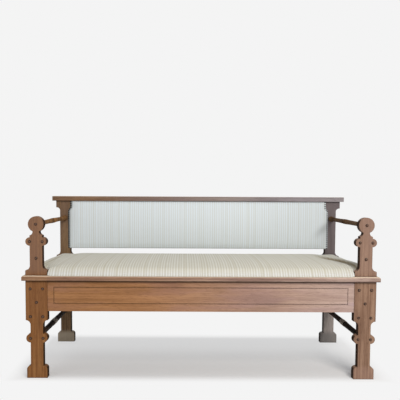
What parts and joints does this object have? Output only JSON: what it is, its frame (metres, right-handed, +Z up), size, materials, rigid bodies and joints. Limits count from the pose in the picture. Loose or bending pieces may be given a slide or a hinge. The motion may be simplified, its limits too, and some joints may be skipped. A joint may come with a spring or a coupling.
{
  "type": "mission settle",
  "caption": "Oak settle with sawn plank legs, turned arm rods and stretchers, a moulded seat edge, an upholstered seat and an upholstered back panel edged with nails.",
  "frame": {"origin": "on the floor, under the middle of the settle's overall box", "axes": "+X along the settle to the right as seen from the front, +Y from front to back, +Z up"},
  "size_m": [1.5348, 0.602, 0.779],
  "materials": {
    "oak": "old waxed oak, satin",
    "oak_pegs": "turned oak pegs, worn dark round the edge",
    "frame_beech": "plain sawn beech, inside the upholstery",
    "seat_cloth": "woven striped upholstery cloth, beige",
    "back_cloth": "the same striped cloth, pale grey green in this light",
    "lining_cloth": "plain black lining cloth",
    "hessian": "open jute hessian",
    "stuffing": "curled hair stuffing",
    "webbing": "jute webbing",
    "nail_bronze": "domed nails, dark bronze"
  },
  "bodies": {
    "root": {"arm_rod_left": "oak", "arm_rod_right": "oak", "back_cover": "back_cloth", "back_hessian": "hessian", "back_lower_rail": "frame_beech", "back_muntin_left": "frame_beech", "back_muntin_right": "frame_beech", "back_nails_left": "nail_bronze", "back_nails_right": "nail_bronze", "back_stile_left": "frame_beech", "back_stile_right": "frame_beech", "back_stuffing": "stuffing", "back_upper_rail": "frame_beech", "cap_board": "oak", "cap_dowels": "frame_beech", "cross_webbing": "webbing", "dust_cover": "lining_cloth", "front_collar_left": "oak", "front_collar_right": "oak", "front_leg_left": "oak", "front_leg_pegs_left": "oak_pegs", "front_leg_pegs_right": "oak_pegs", "front_leg_right": "oak", "front_rail": "oak", "front_seat_board": "oak", "glue_block_front_left": "frame_beech", "glue_block_front_right": "frame_beech", "glue_block_rear_left": "frame_beech", "glue_block_rear_right": "frame_beech", "long_webbing": "webbing", "outside_back": "back_cloth", "rear_collar_left": "oak", "rear_collar_right": "oak", "rear_leg_left": "oak", "rear_leg_pegs_left": "oak_pegs", "rear_leg_pegs_right": "oak_pegs", "rear_leg_right": "oak", "rear_rail": "oak", "rear_seat_board": "oak", "seat_bar_left": "frame_beech", "seat_bar_right": "frame_beech", "seat_cover": "seat_cloth", "seat_hessian": "hessian", "seat_stuffing": "stuffing", "side_rail_left": "oak", "side_rail_right": "oak", "side_seat_board_left": "oak", "side_seat_board_right": "oak", "stretcher_left": "oak", "stretcher_right": "oak"}
  },
  "joints": []
}
